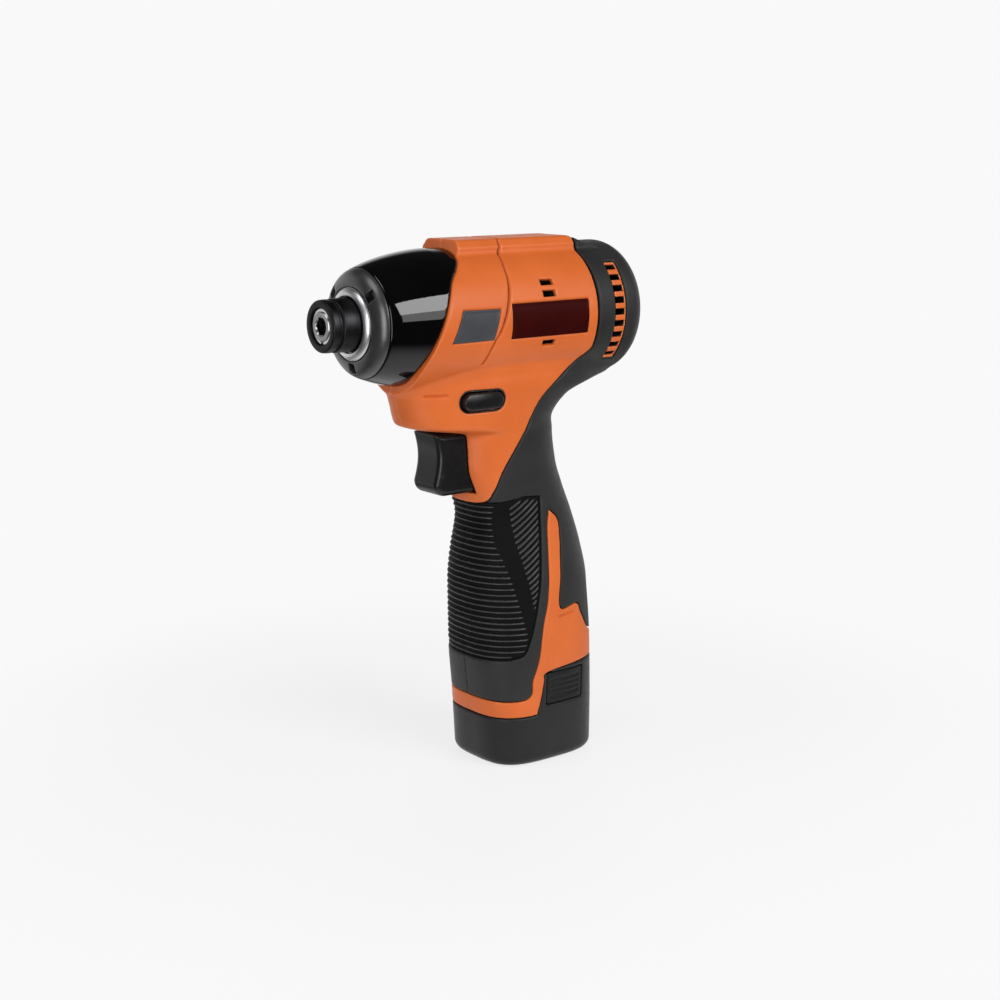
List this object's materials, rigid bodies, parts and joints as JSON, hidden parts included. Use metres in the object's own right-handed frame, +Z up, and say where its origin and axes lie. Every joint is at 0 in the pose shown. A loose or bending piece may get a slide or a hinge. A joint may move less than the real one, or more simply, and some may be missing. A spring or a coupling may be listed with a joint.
{
  "type": "impact driver",
  "caption": "Compact cordless impact driver with a stick battery in its grip, a tapered nose, a hex bit collet, a trigger and a direction selector.",
  "frame": {"origin": "centre of the battery's foot, on the surface that the tool stands on", "axes": "+X forward along the bit, +Y to the tool's left, +Z up"},
  "size_m": [0.1403, 0.0544, 0.2154],
  "materials": {
    "orange_plastic": "fine moulded texture",
    "black_rubber": "soft matt overmould",
    "gloss_black": "polished",
    "lens": "clear",
    "cast_aluminium": "machined",
    "bronze": "sintered",
    "hard_steel": "ground",
    "bright_steel": "bright",
    "blackened_steel": "black oxide",
    "core_steel": "laminated",
    "black_plastic": "moulded",
    "copper": "enamelled wire",
    "board": "solder mask",
    "cell_wrap": "shrink wrap"
  },
  "bodies": {
    "housing": {"left_housing": "orange_plastic", "right_housing": "orange_plastic", "left_grip": "black_rubber", "right_grip": "black_rubber", "nose_cover": "gloss_black", "nose_collar": "gloss_black", "lamp_lenses": "lens", "hammer_case": "cast_aluminium", "anvil_bushing": "bronze", "ring_gear": "hard_steel", "carrier_bearing": "bright_steel", "motor_bracket": "cast_aluminium", "case_screws": "blackened_steel", "front_bearing": "bright_steel", "rear_bearing": "bright_steel", "stator_core": "core_steel", "stator_coils": "copper", "motor_board": "board", "trigger_spring": "bright_steel", "switch_body": "black_plastic", "control_board": "board", "terminal_block": "black_plastic", "housing_screws": "blackened_steel"},
    "spindle": {"spindle": "hard_steel", "planet_pins": "hard_steel", "spring_seat": "bright_steel", "hammer_spring": "bright_steel", "cam_balls": "bright_steel"},
    "hammer": {"hammer": "hard_steel"},
    "planet_1": {"planet_gear_1": "hard_steel"},
    "planet_2": {"planet_gear_2": "hard_steel"},
    "planet_3": {"planet_gear_3": "hard_steel"},
    "rotor": {"motor_shaft": "hard_steel", "rotor_core": "core_steel", "fan": "black_plastic"},
    "anvil": {"anvil": "hard_steel", "bit_balls": "bright_steel", "sleeve_spring": "bright_steel", "sleeve_washer": "bright_steel", "retaining_ring": "bright_steel"},
    "sleeve": {"collet_sleeve": "blackened_steel"},
    "trigger": {"trigger": "black_plastic"},
    "selector": {"selector": "black_plastic"},
    "battery": {"battery_base": "black_plastic", "battery_stem": "black_plastic", "battery_cells": "cell_wrap", "battery_contacts": "copper", "latch_springs": "bright_steel"},
    "left_latch": {"left_latch": "black_plastic"},
    "right_latch": {"right_latch": "black_plastic"}
  },
  "joints": [
    {"name": "trigger_pull", "type": "slide", "parent": "housing", "child": "trigger", "axis": [-1, 0, 0], "range_m": [0, 0.006], "stiffness_N_per_m": 600, "springref_m": -0.005, "deforming": ["trigger_spring"]},
    {"name": "selector_slide", "type": "slide", "parent": "housing", "child": "selector", "axis": [0, 1, 0], "range_m": [-0.0025, 0.0025]},
    {"name": "spindle_spin", "type": "hinge", "parent": "housing", "child": "spindle", "pos_m": [0.025, 0, 0.1852], "axis": [1, 0, 0], "continuous": true},
    {"name": "hammer_slide", "type": "slide", "parent": "spindle", "child": "hammer", "axis": [-1, 0, 0], "range_m": [0, 0.006], "stiffness_N_per_m": 5000, "springref_m": -0.005, "deforming": ["hammer_spring"]},
    {"name": "planet_1_spin", "type": "hinge", "parent": "spindle", "child": "planet_1", "pos_m": [0.0194, 0, 0.19645], "axis": [1, 0, 0], "continuous": true},
    {"name": "planet_2_spin", "type": "hinge", "parent": "spindle", "child": "planet_2", "pos_m": [0.0194, -0.00974, 0.17958], "axis": [1, 0, 0], "continuous": true},
    {"name": "planet_3_spin", "type": "hinge", "parent": "spindle", "child": "planet_3", "pos_m": [0.0194, 0.00974, 0.17958], "axis": [1, 0, 0], "continuous": true},
    {"name": "rotor_spin", "type": "hinge", "parent": "housing", "child": "rotor", "pos_m": [-0.0136, 0, 0.1852], "axis": [1, 0, 0], "continuous": true},
    {"name": "anvil_spin", "type": "hinge", "parent": "housing", "child": "anvil", "pos_m": [0.07, 0, 0.1852], "axis": [1, 0, 0], "continuous": true},
    {"name": "sleeve_pull", "type": "slide", "parent": "anvil", "child": "sleeve", "axis": [1, 0, 0], "range_m": [0, 0.004], "stiffness_N_per_m": 1500, "springref_m": -0.003, "deforming": ["sleeve_spring"]},
    {"name": "battery_slide", "type": "slide", "parent": "housing", "child": "battery", "axis": [0, 0, -1], "range_m": [0, 0.08]},
    {"name": "left_latch_press", "type": "slide", "parent": "battery", "child": "left_latch", "axis": [0, -1, 0], "range_m": [0, 0.0015], "stiffness_N_per_m": 1200, "springref_m": -0.001, "deforming": ["latch_springs"]},
    {"name": "right_latch_press", "type": "slide", "parent": "battery", "child": "right_latch", "axis": [0, 1, 0], "range_m": [0, 0.0015], "stiffness_N_per_m": 1200, "springref_m": -0.001, "deforming": ["latch_springs"]}
  ],
  "couplings": [
    {"joint": "planet_1_spin", "follows": "spindle_spin", "ratio": -2.6667},
    {"joint": "planet_2_spin", "follows": "spindle_spin", "ratio": -2.6667},
    {"joint": "planet_3_spin", "follows": "spindle_spin", "ratio": -2.6667},
    {"joint": "rotor_spin", "follows": "spindle_spin", "ratio": 5},
    {"joint": "anvil_spin", "follows": "spindle_spin", "ratio": 1}
  ]
}
